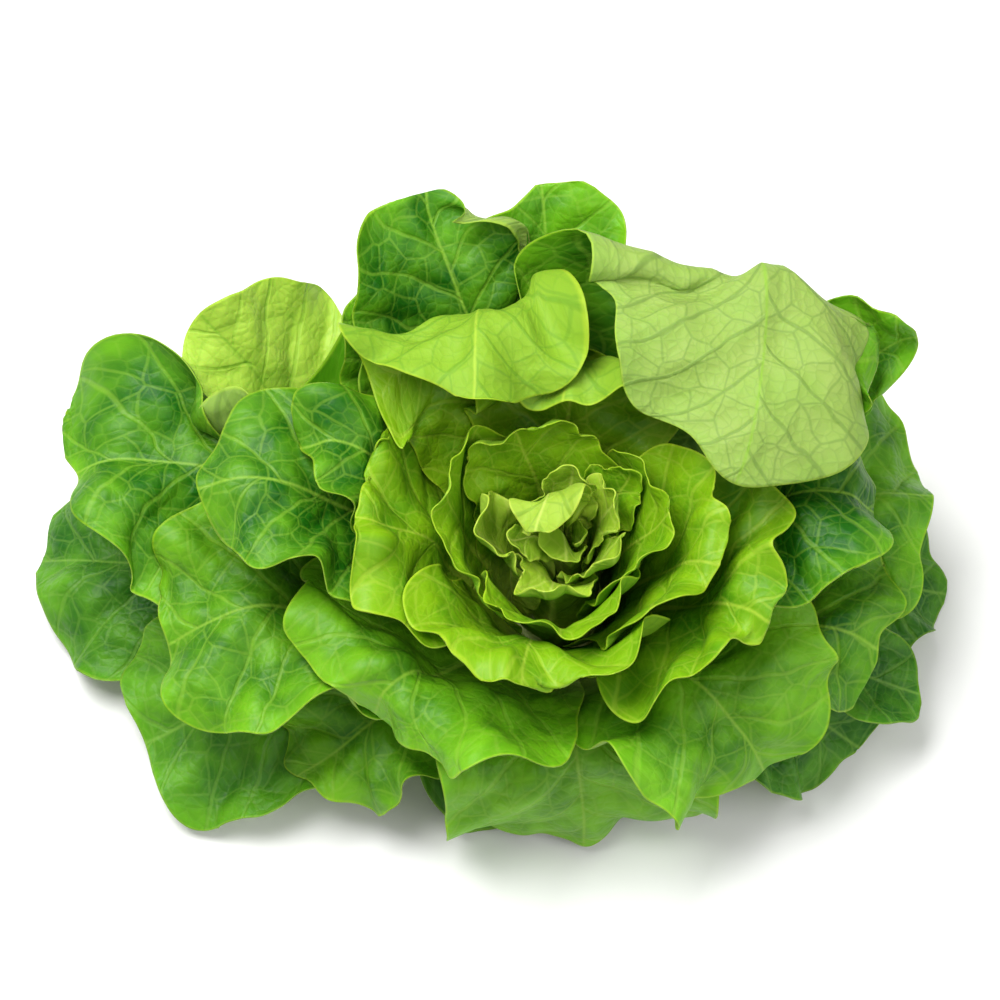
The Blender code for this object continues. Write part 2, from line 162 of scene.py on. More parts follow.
# ---- The low leaves: the oldest ones, spread out flat where the head rests.
# Dark thin blades on a broad pale midrib, grown from the foot of the core and pressed down by the rest.
# This section also holds how any leaf is bent: a flat outline laid along a curved midrib and cupped across.

# Millimetres and, for the overlap round the core, degrees.
LEAF_THICKNESS = 0.55
ROOT_CLEARANCE = 0.8
LOWEST_ROOT = 2.5
ROOT_STEP = 3.2
FOOT_OVERLAP = 54.0
# The blade's outline: shares of its length and width, and how square its foot is.
WIDEST_PLACE = 0.62
ROLLED_STRIP = 0.5
FOOT_POWER = 1.8
RIB_STEPS = 96
BEND_STEPS = 16
# Millimetres between veins and across the cells, mottling and grain of the skin.
SIDE_VEIN_STEP = 17
SIDE_VEIN_LEAN = 1.35
SIDE_VEIN_CURVE = 0.85
SIDE_VEIN_STAGGER = 7.0
NET_CELL = 11
FINE_NET_CELL = 3.5
DRIFT_SIZE = 22
MOTTLE_SIZE = 16
SKIN_GRAIN = 1.1
BLANCHED = "#b3cc4e"


@dataclass
class Leaf:
    """One leaf, in millimetres and degrees.

    around: degrees round the core, 0 to the right and 90 to the back
    rib: points of the midrib from the core to the tip
    half_width: of the blade where it is widest
    cup, cup_right: degrees that the blade turns inwards from midrib to margin at the foot, middle and tip
    roll_right: the same, for a strip along the right margin only
    turn: degrees that the blade's facing turns about the upright axis, from foot to tip
    point: how square (over 2) or pointed (under 2) the tip is
    foot: half the width of the stalk
    frill, waves: height and number of the waves round the margin
    lobes: how far the margin goes in and out, as a share of the blade
    tone: from dark green (0) to yellow green (1)
    pale: how blanched and yellow the blade is
    """

    name: str
    around: float
    rib: list
    half_width: float
    cup: tuple
    tone: float = 0.5
    cup_right: tuple = None
    roll_right: tuple = (0.0, 0.0)
    turn: tuple = (0.0, 0.0)
    point: float = 2.3
    foot: float = 8.0
    frill: float = 4.5
    waves: int = 5
    lobes: float = 0.045
    pale: float = 0.0


def along(stations, share):
    """A value given at even stations from foot to tip, read at these shares of the length."""
    return np.interp(share, np.linspace(0, 1, len(stations)), stations)


def root_heights(leaves):
    """Where each leaf starts on the core: a step above every earlier leaf whose foot it overlaps."""
    heights = []
    for leaf in leaves:
        below = [LOWEST_ROOT - ROOT_STEP]
        for earlier, height in zip(leaves, heights):
            if abs((leaf.around - earlier.around + 180) % 360 - 180) < FOOT_OVERLAP:
                below.append(height)
        heights.append(max(below) + ROOT_STEP)
    return heights


def midrib(leaf, root):
    """Evenly spaced points of the midrib, a smooth curve through the leaf's points, and its length."""
    angle = math.radians(leaf.around)
    reach = core_radius(root) + ROOT_CLEARANCE
    points = [[reach * math.cos(angle), reach * math.sin(angle), root]] + leaf.rib
    points = np.array(points, float)
    points = np.vstack([2 * points[0] - points[1], points, 2 * points[-1] - points[-2]])
    t = np.linspace(0, 1, 24, endpoint=False)[:, None]
    curve = []
    for a, b, c, d in zip(points, points[1:], points[2:], points[3:]):
        bent = 2 * a - 5 * b + 4 * c - d + t * (3 * b - a - 3 * c + d)
        curve.append(b + 0.5 * t * (c - a + t * bent))
    curve = np.vstack(curve + [points[-2][None]])
    travelled = np.r_[0, np.cumsum(np.linalg.norm(np.diff(curve, axis=0), axis=1))]
    even = np.linspace(0, travelled[-1], RIB_STEPS)
    return np.stack([np.interp(even, travelled, curve[:, k]) for k in range(3)], axis=1), travelled[-1]


def margin_distance(leaf, angle, length, middle):
    """How far the margin is from the blade's middle, for an angle that is 0 towards the tip."""
    width = leaf.half_width
    forward, aside = np.cos(angle), np.maximum(np.abs(np.sin(angle)), 1e-6)
    tip = length - middle
    upper = ((aside / width) ** leaf.point + np.abs(forward / tip) ** leaf.point) ** (-1 / leaf.point)
    lower = ((aside / width) ** FOOT_POWER + np.abs(forward / middle) ** FOOT_POWER) ** (-1 / FOOT_POWER)
    stalk = np.minimum(leaf.foot / aside, middle / np.maximum(-forward, 1e-6))
    lower = np.where(forward < -0.2, np.maximum(lower, stalk), lower)
    start = leaf.around * 0.7
    lobed = np.sin(5 * angle + start) + 0.7 * np.sin(8 * angle + 2.1 * start)
    lobed += 0.35 * np.sin(13 * angle + 3 * start)
    lobed = 1 + leaf.lobes * lobed * eased((forward + 0.75) / 0.6)
    return np.where(forward > 0, upper, lower) * lobed


def blade(leaf, root, cells):
    """The leaf's surface on a square grid of this many cells, and its flat pattern.

    The pattern gives each place's millimetres aside of the midrib and ahead of the foot, its share of the way
    from the middle to the margin, its distance from the margin, and its share of the leaf's length.
    """
    line = np.linspace(-1, 1, cells + 1)
    across, up = (grid.ravel() for grid in np.meshgrid(line, line, indexing="ij"))
    rib, length = midrib(leaf, root)
    middle = WIDEST_PLACE * length
    width = leaf.half_width
    x = across * np.sqrt(1 - up * up / 2)
    y = up * np.sqrt(1 - across * across / 2)
    out, angle = np.hypot(x, y), np.arctan2(x, y)
    edge = margin_distance(leaf, angle, length, middle)
    aside, ahead = out * edge * np.sin(angle), np.clip(middle + out * edge * np.cos(angle), 0, length)
    share = ahead / length
    turns = np.linspace(0, math.pi, 181)
    half = margin_distance(leaf, turns, length, middle)
    order = np.argsort(middle + half * np.cos(turns))
    local = np.interp(ahead, (middle + half * np.cos(turns))[order], (half * np.sin(turns))[order])

    steps = np.linspace(0, 1, RIB_STEPS)
    forward = np.gradient(rib, axis=0)
    forward /= np.linalg.norm(forward, axis=1, keepdims=True)
    facing = np.radians(leaf.around + along(leaf.turn, steps))
    right = np.stack([np.sin(facing), -np.cos(facing), np.zeros(RIB_STEPS)], axis=1)
    right -= forward * (right * forward).sum(axis=1, keepdims=True)
    right /= np.linalg.norm(right, axis=1, keepdims=True)
    inward = np.cross(right, forward)

    def on_rib(values):
        return np.stack([np.interp(share, steps, values[:, k]) for k in range(3)], axis=1)

    on_right = aside > 0
    cup_right = leaf.cup_right or leaf.cup
    bend = np.radians(np.where(on_right, along(cup_right, share), along(leaf.cup, share))) / width
    roll = np.radians(np.where(on_right, along(leaf.roll_right, share), 0.0))
    roll_zone = ROLLED_STRIP * width
    spread, rise = np.zeros(len(aside)), np.zeros(len(aside))
    step = np.abs(aside) / BEND_STEPS
    for k in range(BEND_STEPS):
        place = step * (k + 0.5)
        tilt = bend * place + roll * (eased(1 - (local - place) / roll_zone) - eased(1 - local / roll_zone))
        spread += np.cos(tilt) * step
        rise += np.sin(tilt) * step
    rolled = eased(1 - (local - np.abs(aside)) / roll_zone) - eased(1 - local / roll_zone)
    tilt = bend * np.abs(aside) + roll * rolled

    # Waves that grow towards the margin, and broad dents across the whole blade.
    start = math.radians(leaf.around * 3 + leaf.half_width * 7)
    wave = np.sin(leaf.waves * angle + start) + 0.55 * np.sin((2 * leaf.waves + 1) * angle + 2 * start)
    wave = leaf.frill * wave * out ** 2.6
    dent = np.sin(ahead / 9.0 + 2 * start + 0.5 * np.sin(aside / 8.0)) * np.cos(aside / 8.5 + start)
    wave += 0.7 * leaf.frill * dent * eased(1.2 - out)
    wave *= eased((share - 0.25) / 0.35)
    side, inside = on_rib(right) * np.sign(aside)[:, None], on_rib(inward)
    points = on_rib(rib) + side * spread[:, None] + inside * rise[:, None]
    points += (inside * np.cos(tilt)[:, None] - side * np.sin(tilt)[:, None]) * wave[:, None]
    return points, (aside, ahead, out, (1 - out) * edge, share, angle)


def leaf_material(name, dark, bright, under, vein, base, rim, relief_strength):
    """Lettuce blade: a thin watery sheet that lets light through, with soft highlights on its upper skin.

    Colours: upper face from dark to bright, underside, veins, the pale foot, and the margin's painted
    highlight.
    """
    material, tree, shader = plain_material(name)
    pattern = add(tree, "ShaderNodeUVMap", uv_map="leaf_mm").outputs[0]
    level = {
        key: add(tree, "ShaderNodeAttribute", attribute_name=key).outputs["Fac"]
        for key in ("tone", "pale", "underside", "margin", "rib_gap", "share")
    }
    drift = add(
        tree, "ShaderNodeTexNoise", {"Vector": pattern, "Scale": 1 / DRIFT_SIZE, "Detail": 2.0},
        noise_dimensions="2D",
    )
    drift = add(tree, "ShaderNodeVectorMath", {0: drift.outputs[1], 1: (0.5, 0.5, 0.0)}, operation="SUBTRACT")
    drift = add(tree, "ShaderNodeVectorMath", {0: drift.outputs[0], "Scale": 6.0}, operation="SCALE")
    place = add(tree, "ShaderNodeVectorMath", {0: pattern, 1: drift.outputs[0]}, operation="ADD").outputs[0]

    # Side veins leave the midrib every 17 mm and run forward and outward.
    split = add(tree, "ShaderNodeSeparateXYZ", {0: place})
    off = add(tree, "ShaderNodeMath", {0: split.outputs[0]}, operation="ABSOLUTE").outputs[0]
    curve = add(tree, "ShaderNodeMath", {0: off, 1: SIDE_VEIN_CURVE}, operation="POWER").outputs[0]
    lean = add(
        tree, "ShaderNodeMath", {0: curve, 1: -SIDE_VEIN_LEAN, 2: split.outputs[1]}, operation="MULTIPLY_ADD",
    ).outputs[0]
    stagger = add(tree, "ShaderNodeMath", {0: split.outputs[0], 1: 0.0}, operation="GREATER_THAN").outputs[0]
    lean = add(
        tree, "ShaderNodeMath", {0: stagger, 1: SIDE_VEIN_STAGGER, 2: lean}, operation="MULTIPLY_ADD",
    ).outputs[0]
    lateral = add(tree, "ShaderNodeMath", {0: lean, 1: SIDE_VEIN_STEP / 2}, operation="PINGPONG").outputs[0]
    side_veins = add(
        tree, "ShaderNodeMapRange", {"Value": lateral, 1: 0.25, 2: 1.15, 3: 1.0, 4: 0.0},
        interpolation_type="SMOOTHSTEP",
    ).outputs[0]

    # Between them the veins close into a net of cells 11 mm across, with a finer net of 3.5 mm inside.
    net = add(
        tree, "ShaderNodeTexVoronoi", {"Vector": place, "Scale": 1 / NET_CELL, "Randomness": 0.9},
        feature="DISTANCE_TO_EDGE", voronoi_dimensions="2D",
    ).outputs["Distance"]
    net_veins = add(
        tree, "ShaderNodeMapRange", {"Value": net, 1: 0.012, 2: 0.055, 3: 0.8, 4: 0.0},
        interpolation_type="SMOOTHSTEP",
    ).outputs[0]
    fine = add(
        tree, "ShaderNodeTexVoronoi", {"Vector": place, "Scale": 1 / FINE_NET_CELL, "Randomness": 0.9},
        feature="DISTANCE_TO_EDGE", voronoi_dimensions="2D",
    ).outputs["Distance"]
    fine_veins = add(
        tree, "ShaderNodeMapRange", {"Value": fine, 1: 0.02, 2: 0.12, 3: 0.3, 4: 0.0},
        interpolation_type="SMOOTHSTEP",
    ).outputs[0]
    rib = add(
        tree, "ShaderNodeMapRange", {"Value": level["rib_gap"], 1: -0.4, 2: 0.5, 3: 0.75, 4: 0.0},
        interpolation_type="SMOOTHSTEP",
    ).outputs[0]
    veins = add(tree, "ShaderNodeMath", {0: side_veins, 1: net_veins}, operation="MAXIMUM").outputs[0]
    veins = add(tree, "ShaderNodeMath", {0: veins, 1: fine_veins}, operation="MAXIMUM").outputs[0]

    # Upper face: mottled green, lighter along the veins.
    mottle = add(
        tree, "ShaderNodeTexNoise", {"Vector": pattern, "Scale": 1 / MOTTLE_SIZE, "Detail": 4.0},
        noise_dimensions="2D",
    )
    mottle = add(
        tree, "ShaderNodeMapRange", {"Value": mottle.outputs[0], 1: 0.3, 2: 0.7, 3: -0.32, 4: 0.3},
    ).outputs[0]
    puffed = add(tree, "ShaderNodeMapRange", {"Value": net, 1: 0.0, 2: 0.45, 3: -0.12, 4: 0.1}).outputs[0]
    mottle = add(tree, "ShaderNodeMath", {0: mottle, 1: puffed}, operation="ADD").outputs[0]
    near_margin = add(
        tree, "ShaderNodeMapRange", {"Value": level["margin"], 1: 0.0, 2: 14.0, 3: 0.28, 4: 0.0},
        interpolation_type="SMOOTHSTEP",
    ).outputs[0]
    mottle = add(tree, "ShaderNodeMath", {0: mottle, 1: near_margin}, operation="ADD").outputs[0]
    lightness = add(
        tree, "ShaderNodeMath", {0: level["tone"], 1: mottle}, operation="ADD", use_clamp=True,
    ).outputs[0]
    upper = add(
        tree, "ShaderNodeMix", {0: lightness, 6: linear(dark), 7: linear(bright)}, data_type="RGBA",
    ).outputs[2]
    upper = add(
        tree, "ShaderNodeMix", {0: level["pale"], 6: upper, 7: linear(BLANCHED)}, data_type="RGBA",
    ).outputs[2]
    faint = add(tree, "ShaderNodeMath", {0: veins, 1: 0.4}, operation="MULTIPLY").outputs[0]
    upper = add(tree, "ShaderNodeMix", {0: faint, 6: upper, 7: linear(vein)}, data_type="RGBA").outputs[2]

    # Underside: pale and dull, with the veins darker than the blade.
    shaded = add(
        tree, "ShaderNodeMix", {0: 0.45, 6: linear(under), 7: linear(dark)}, data_type="RGBA",
    ).outputs[2]
    tint = add(
        tree, "ShaderNodeMix", {0: 0.3, 6: linear(under), 7: linear(bright)}, data_type="RGBA",
    ).outputs[2]
    lower = add(tree, "ShaderNodeMix", {0: lightness, 6: linear(under), 7: tint}, data_type="RGBA").outputs[2]
    clear = add(tree, "ShaderNodeMath", {0: veins, 1: 0.75}, operation="MULTIPLY").outputs[0]
    lower = add(tree, "ShaderNodeMix", {0: clear, 6: lower, 7: shaded}, data_type="RGBA").outputs[2]

    colour = add(
        tree, "ShaderNodeMix", {0: level["underside"], 6: upper, 7: lower}, data_type="RGBA",
    ).outputs[2]
    colour = add(tree, "ShaderNodeMix", {0: rib, 6: colour, 7: linear(vein)}, data_type="RGBA").outputs[2]
    foot = add(
        tree, "ShaderNodeMapRange", {"Value": level["share"], 1: 0.03, 2: 0.36, 3: 0.9, 4: 0.0},
        interpolation_type="SMOOTHSTEP",
    ).outputs[0]
    colour = add(tree, "ShaderNodeMix", {0: foot, 6: colour, 7: linear(base)}, data_type="RGBA").outputs[2]
    # Painted highlight: a thin bright line in the rim colour along the margin and over the rim faces, where
    # light catches the leaf's edge.
    line = add(
        tree, "ShaderNodeMapRange", {"Value": level["margin"], 1: 0.25, 2: 0.9, 3: 0.38, 4: 0.0},
        interpolation_type="SMOOTHSTEP",
    ).outputs[0]
    colour = add(tree, "ShaderNodeMix", {0: line, 6: colour, 7: linear(rim)}, data_type="RGBA").outputs[2]
    tree.links.new(colour, shader.inputs["Base Color"])

    # The cells of the net puff up by about half a millimetre on the upper face, and hollow the underside.
    puff = add(
        tree, "ShaderNodeMapRange", {"Value": net, 1: 0.0, 2: 0.35, 3: 0.0, 4: 1.0},
        interpolation_type="SMOOTHSTEP",
    ).outputs[0]
    small = add(tree, "ShaderNodeMapRange", {"Value": fine, 1: 0.0, 2: 0.3, 3: 0.0, 4: 0.35}).outputs[0]
    relief = add(tree, "ShaderNodeMath", {0: puff, 1: small}, operation="ADD").outputs[0]
    relief = add(
        tree, "ShaderNodeMath", {0: side_veins, 1: -0.55, 2: relief}, operation="MULTIPLY_ADD",
    ).outputs[0]
    flip = add(tree, "ShaderNodeMapRange", {"Value": level["underside"], 3: 1.0, 4: -1.0}).outputs[0]
    relief = add(tree, "ShaderNodeMath", {0: relief, 1: flip}, operation="MULTIPLY").outputs[0]
    skin = add(
        tree, "ShaderNodeTexNoise", {"Vector": pattern, "Scale": 1 / SKIN_GRAIN, "Detail": 2.0},
        noise_dimensions="2D",
    )
    relief = add(
        tree, "ShaderNodeMath", {0: skin.outputs[0], 1: 0.2, 2: relief}, operation="MULTIPLY_ADD",
    ).outputs[0]
    bump = add(tree, "ShaderNodeBump", {"Height": relief, "Strength": relief_strength, "Distance": 0.6 * MM})
    tree.links.new(bump.outputs[0], shader.inputs["Normal"])
    dull = add(tree, "ShaderNodeMapRange", {"Value": level["underside"], 3: 0.46, 4: 0.6}).outputs[0]
    tree.links.new(dull, shader.inputs["Roughness"])
    shader.inputs["IOR"].default_value = 1.4
    shader.inputs["Specular IOR Level"].default_value = 0.3
    shader.inputs["Subsurface Weight"].default_value = 0.22
    shader.inputs["Subsurface Radius"].default_value = (0.5, 1.0, 0.12)
    shader.inputs["Subsurface Scale"].default_value = 2.5 * MM
    return material


OUTER = (40, 20, 0)
low_leaves = [
    Leaf(
        "far_left_leaf", 180, [(-60, 2, 16), (-110, 10, 26), (-150, 18, 20), (-170, 24, 5)],
        half_width=44, cup=OUTER, tone=0.35,
    ),
    Leaf(
        "far_right_leaf", 4, [(60, 4, 16), (98, 10, 20), (130, 14, 4)],
        half_width=34, cup=OUTER, tone=0.1, point=1.7,
    ),
    Leaf(
        "low_back_left_leaf", 118, [(-24, 40, 16), (-46, 76, 24), (-58, 98, 6)],
        half_width=46, cup=OUTER, tone=0.3,
    ),
    Leaf(
        "low_back_right_leaf", 62, [(24, 38, 16), (46, 72, 26), (60, 94, 6)],
        half_width=44, cup=OUTER, tone=0.3,
    ),
    Leaf(
        "low_left_leaf", 205, [(-50, -20, 14), (-98, -34, 20), (-138, -46, 6)],
        half_width=38, cup=(40, 25, 0), tone=0.5,
    ),
    Leaf(
        "low_front_leaf", 250, [(-16, -36, 14), (-32, -52, 16), (-44, -62, 6)],
        half_width=28, cup=(40, 15, 0), tone=0.3,
    ),
    Leaf(
        "low_right_leaf", -32, [(44, -24, 20), (74, -34, 24), (98, -42, 4)],
        half_width=32, cup=(40, 25, 0), tone=0.1,
    ),
    Leaf(
        "rolled_right_leaf", -18, [(50, -16, 20), (90, -24, 28), (119, -30, 18)],
        half_width=20, cup=(60, 60, 60), tone=0.15, frill=2,
    ),
]
low_green = leaf_material(
    "low_lettuce_leaf", dark="#1f5a0c", bright="#5f9c18", under="#93b067",
    vein="#6f9b38", base="#c9db8c", rim="#8cae34", relief_strength=0.7,
)

# ---- The wrapper leaves: large open leaves round the head.
# Fully grown blades on a thick rib, green where the sun reached them, that lean out and curl over at the
# margin. The two at the back right and back lean in again, so their pale undersides show.

OPEN = (60, 25, 0)
WRAPPER = (60, 30, 10)
UPRIGHT = (70, 50, 30)
wrapper_leaves = [
    Leaf(
        "back_left_pale_leaf", 150, [(-51, 31, 22), (-91, 59, 56), (-117, 76, 86)],
        half_width=38, cup=(60, 30, 20), tone=0.95, pale=0.75,
    ),
    Leaf(
        "big_left_leaf", 170, [(-50, 12, 26), (-100, 28, 54), (-140, 34, 66), (-160, 30, 58)],
        half_width=50, cup=(60, 10, -5), tone=0.28, cup_right=(60, 40, 20), roll_right=(0, 20, 100, 100, 0),
        frill=6, waves=4,
    ),
    Leaf(
        "pointed_front_leaf", 224, [(-38, -32, 28), (-64, -48, 34), (-84, -62, 12)],
        half_width=30, cup=(50, 20, 0), tone=0.5, point=1.6,
    ),
    Leaf(
        "big_right_leaf", 14, [(55, 14, 28), (95, 24, 56), (121, 26, 48)],
        half_width=50, cup=OPEN, tone=0.5, frill=4.5,
    ),
    Leaf(
        "back_right_curled_leaf", 32, [(40, 26, 32), (76, 50, 70), (100, 62, 90), (112, 58, 102)],
        half_width=26, cup=(60, 30, 20), tone=0.5, turn=(0, 10, 20),
    ),
    Leaf(
        "left_leaf", 196, [(-45, -10, 28), (-86, -16, 58), (-114, -22, 58), (-130, -26, 46)],
        half_width=44, cup=(60, 30, 0), tone=0.5, frill=6,
    ),
    Leaf(
        "front_leaf", 274, [(2, -32, 36), (4, -50, 52), (6, -66, 48), (8, -74, 26), (8, -72, 6)],
        half_width=46, cup=(60, 20, 0), tone=0.8, point=4.0, frill=4, lobes=0.02,
    ),
    Leaf(
        "right_leaf", -18, [(45, -12, 34), (82, -22, 56), (106, -30, 46)],
        half_width=36, cup=WRAPPER, tone=0.35,
    ),
    Leaf(
        "back_left_leaf", 140, [(-34, 30, 38), (-62, 54, 78), (-84, 74, 98)],
        half_width=46, cup=(60, 35, 20), tone=0.45,
    ),
    Leaf(
        "back_left_narrow_leaf", 124, [(-22, 36, 42), (-46, 70, 92), (-58, 84, 110)],
        half_width=34, cup=(60, 35, 20), tone=0.45,
    ),
    Leaf(
        "front_right_leaf", -50, [(26, -30, 40), (46, -46, 62), (60, -58, 54), (66, -63, 36)],
        half_width=42, cup=(60, 20, 0), tone=0.65, frill=6, waves=4,
    ),
    Leaf(
        "front_left_leaf", 228, [(-28, -28, 42), (-46, -44, 70), (-56, -52, 74), (-62, -58, 66)],
        half_width=52, cup=(70, 30, 0), tone=0.7, frill=6, waves=4,
    ),
    Leaf(
        "dark_right_leaf", 10, [(40, 8, 42), (68, 13, 78), (92, 14, 84), (105, 13, 74)],
        half_width=39, cup=WRAPPER, tone=0.05, frill=4,
    ),
    Leaf(
        "back_leaf", 90, [(-1, 40, 44), (-3, 80, 88), (-5, 100, 112), (-6, 107, 118)],
        half_width=34, cup=UPRIGHT, tone=0.6,
    ),
    Leaf(
        "tall_back_leaf", 112, [(-14, 36, 46), (-32, 76, 90), (-41, 97, 113), (-42, 103, 120)],
        half_width=42, cup=UPRIGHT, tone=0.25, roll_right=(0, 0, 60, 130, 100), point=2.8, frill=3.5,
    ),
    Leaf(
        "dark_left_leaf", 176, [(-40, 4, 46), (-70, 10, 84), (-98, 12, 95), (-114, 10, 88)],
        half_width=34, cup=WRAPPER, tone=0.2, frill=5,
    ),
    Leaf(
        "folded_back_right_leaf", 52,
        [
            (26, 32, 54), (50, 60, 97), (63, 74, 116), (66, 66, 126), (65, 42, 125), (61, 18, 118),
            (56, 4, 110),
        ],
        half_width=53, cup=(60, 10, -5), tone=0.4, cup_right=(60, 60, 95), turn=(0, 25, 40, 40, 40),
        point=1.9, frill=5.5, waves=4,
    ),
    Leaf(
        "small_left_leaf", 162, [(-32, 12, 52), (-56, 20, 88), (-74, 24, 103), (-86, 24, 102)],
        half_width=24, cup=WRAPPER, tone=0.15,
    ),
]
wrapper_green = leaf_material(
    "wrapper_lettuce_leaf", dark="#1a5a08", bright="#6aa616", under="#8fa951",
    vein="#82ac34", base="#cfdf8a", rim="#a3c42b", relief_strength=0.6,
)

# ---- The ring leaves: round the open heart, three or four deep.
# Half-grown blades that stand up and cup round the heart, thin and yellow green, with ruffled margins.

RING = (80, 60, 30)
INNER_RING = (90, 80, 60)
ring_leaves = [
    Leaf(
        "outer_ring_right_leaf", -24, [(34, -14, 54), (50, -24, 80), (60, -30, 91), (66, -34, 93)],
        half_width=46, cup=(65, 45, 20), tone=0.6, frill=6,
    ),
    Leaf(
        "outer_ring_left_leaf", 184, [(-32, -2, 56), (-48, -2, 86), (-58, -4, 100), (-66, -4, 102)],
        half_width=44, cup=RING, tone=0.75, frill=5.5,
    ),
    Leaf(
        "outer_ring_front_leaf", 262, [(-6, -30, 56), (-10, -44, 84), (-12, -54, 97), (-12, -60, 97)],
        half_width=44, cup=RING, tone=0.85, frill=7, waves=4,
    ),
    Leaf(
        "folded_back_leaf", 108,
        [(-12, 42, 62), (-23, 62, 94), (-25, 66, 110), (-26, 56, 121), (-27, 42, 122), (-28, 31, 118)],
        half_width=45, cup=(70, 25, -5), tone=0.9, point=2.8, frill=5.5, waves=6,
    ),
    Leaf(
        "folded_inner_back_leaf", 86, [(2, 36, 64), (4, 48, 88), (4, 50, 101), (3, 44, 110), (1, 33, 112)],
        half_width=33, cup=(70, 30, 0), tone=0.85, point=3.0, frill=6, waves=5,
    ),
    Leaf(
        "middle_ring_right_leaf", -14, [(26, -8, 60), (38, -12, 84), (45, -16, 96), (51, -18, 98)],
        half_width=40, cup=RING, tone=0.8, frill=2.5,
    ),
    Leaf(
        "inner_ring_left_leaf", 172, [(-26, 2, 64), (-35, 4, 90), (-38, 4, 105)],
        half_width=34, cup=INNER_RING, tone=0.85, frill=2.5,
    ),
    Leaf(
        "inner_ring_front_leaf", 276, [(0, -26, 64), (0, -36, 88), (0, -42, 99)],
        half_width=34, cup=INNER_RING, tone=0.8, frill=2.5,
    ),
    Leaf(
        "inner_ring_right_leaf", 2, [(22, 0, 66), (31, 0, 88), (35, 0, 98)],
        half_width=29, cup=INNER_RING, tone=0.8, frill=2,
    ),
    Leaf(
        "inner_ring_back_leaf", 98, [(-6, 22, 68), (-12, 31, 86), (-14, 32, 95), (-15, 28, 102)],
        half_width=28, cup=(80, 50, 30), tone=0.9, frill=2,
    ),
    Leaf(
        "inner_ring_back_right_leaf", 46, [(17, 16, 66), (27, 24, 81), (27, 24, 89)],
        half_width=15, cup=INNER_RING, tone=0.6, frill=1.5,
    ),
]
ring_green = leaf_material(
    "ring_lettuce_leaf", dark="#2c770c", bright="#77a50f", under="#84aa30",
    vein="#a2bf3a", base="#a9c840", rim="#b5cf30", relief_strength=0.45,
)

# ---- The heart leaves: the youngest, still folded over the growing tip.
# Small thick blades kept from the light, pale yellow green, crumpled against each other.

HEART = (60, 65, 50)
heart_leaves = [
    Leaf(
        "heart_left_leaf", 196, [(-16, -2, 70), (-25, -2, 88), (-25, -2, 98)],
        half_width=16, cup=HEART, tone=0.8, foot=5, frill=2.4,
    ),
    Leaf(
        "heart_front_leaf", 262, [(-2, -14, 70), (-4, -24, 84), (-5, -25, 93)],
        half_width=15, cup=HEART, tone=0.85, foot=5, frill=2.4,
    ),
    Leaf(
        "heart_front_right_leaf", -38, [(10, -8, 70), (16, -13, 86), (16, -13, 93)],
        half_width=12, cup=HEART, tone=0.6, foot=5, frill=2.2,
    ),
    Leaf(
        "heart_right_leaf", 18, [(12, 5, 72), (19, 9, 88), (18, 9, 95)],
        half_width=13, cup=HEART, tone=0.8, foot=5, frill=2.2,
    ),
    Leaf(
        "heart_back_leaf", 80, [(2, 12, 72), (4, 17, 87), (4, 16, 95)],
        half_width=12, cup=HEART, tone=0.5, foot=5, frill=1.8,
    ),
    Leaf(
        "heart_inner_left_leaf", 205, [(-7, -3, 72), (-13, -5, 84), (-15, -6, 92)],
        half_width=8, cup=HEART, tone=0.3, foot=4, frill=1.2,
    ),
    Leaf(
        "heart_inner_front_leaf", 285, [(0, -6, 72), (2, -12, 84), (2, -14, 90)],
        half_width=8, cup=HEART, tone=0.5, foot=4, frill=1.2,
    ),
    Leaf(
        "heart_inner_right_leaf", -10, [(6, -3, 71), (8, -6, 80), (8, -7, 86)],
        half_width=5, cup=HEART, tone=0.5, foot=3, frill=1.0,
    ),
    Leaf(
        "heart_hood_leaf", 120, [(-2, 5, 72), (-3, 9, 88), (-4, 5, 99), (-8, -7, 101)],
        half_width=14, cup=(60, 40, 30), tone=0.9, foot=4, frill=2.0,
    ),
]
heart_green = leaf_material(
    "heart_lettuce_leaf", dark="#55800f", bright="#9fc032", under="#92b03c",
    vein="#b9cb5c", base="#9fb83a", rim="#bfd24c", relief_strength=0.5,
)

# ---- The leaves pressed together: each takes its room between its neighbours and lies in folds against them.
# The sheets are moved off each other while they are coarse, and the finished blades follow them.

# Millimetres from one sheet's middle to the next, to the core and to the surface below.
LEAF_ROOM = 2.1
CORE_ROOM = 0.6
REST_HEIGHT = 0.6
# How far a sheet looks for its neighbour, as shares of the neighbour's half width.
ORDER_REACH = 0.35
CROSSING_REACH = 0.25
COARSE_CELLS = 14
FINE_CELLS = 112
SMALL_LEAF = 26
# Millimetres that the veins shift per degree round the core, and the heights of the puffs and crimps.
PATTERN_STEP = 7
PUFF_HEIGHT = 1.3
CRIMP_HEIGHT = 0.22
leaves = low_leaves + wrapper_leaves + ring_leaves + heart_leaves
roots = root_heights(leaves)


def finer(cells, fine):
    """Weights that carry a grid of so many cells to a finer one."""
    place = np.linspace(0, cells, fine + 1)
    first = np.minimum(place.astype(int), cells - 1)
    weights = np.zeros((fine + 1, cells + 1))
    weights[np.arange(fine + 1), first] = 1 - (place - first)
    weights[np.arange(fine + 1), first + 1] += place - first
    return weights


def spread_out(grid, fine):
    weights = finer(len(grid) - 1, fine)
    return np.einsum("ai,bj,ijk->abk", weights, weights, grid)


def softened(grid):
    wide = np.pad(grid, ((1, 1), (1, 1), (0, 0)), mode="edge")
    return (4 * grid + wide[:-2, 1:-1] + wide[2:, 1:-1] + wide[1:-1, :-2] + wide[1:-1, 2:]) / 8


def grid_faces(cells):
    number = np.arange((cells + 1) ** 2).reshape(cells + 1, cells + 1)
    corners = (number[:-1, :-1], number[1:, :-1], number[1:, 1:], number[:-1, 1:])
    return np.stack(corners, axis=-1).reshape(-1, 4)


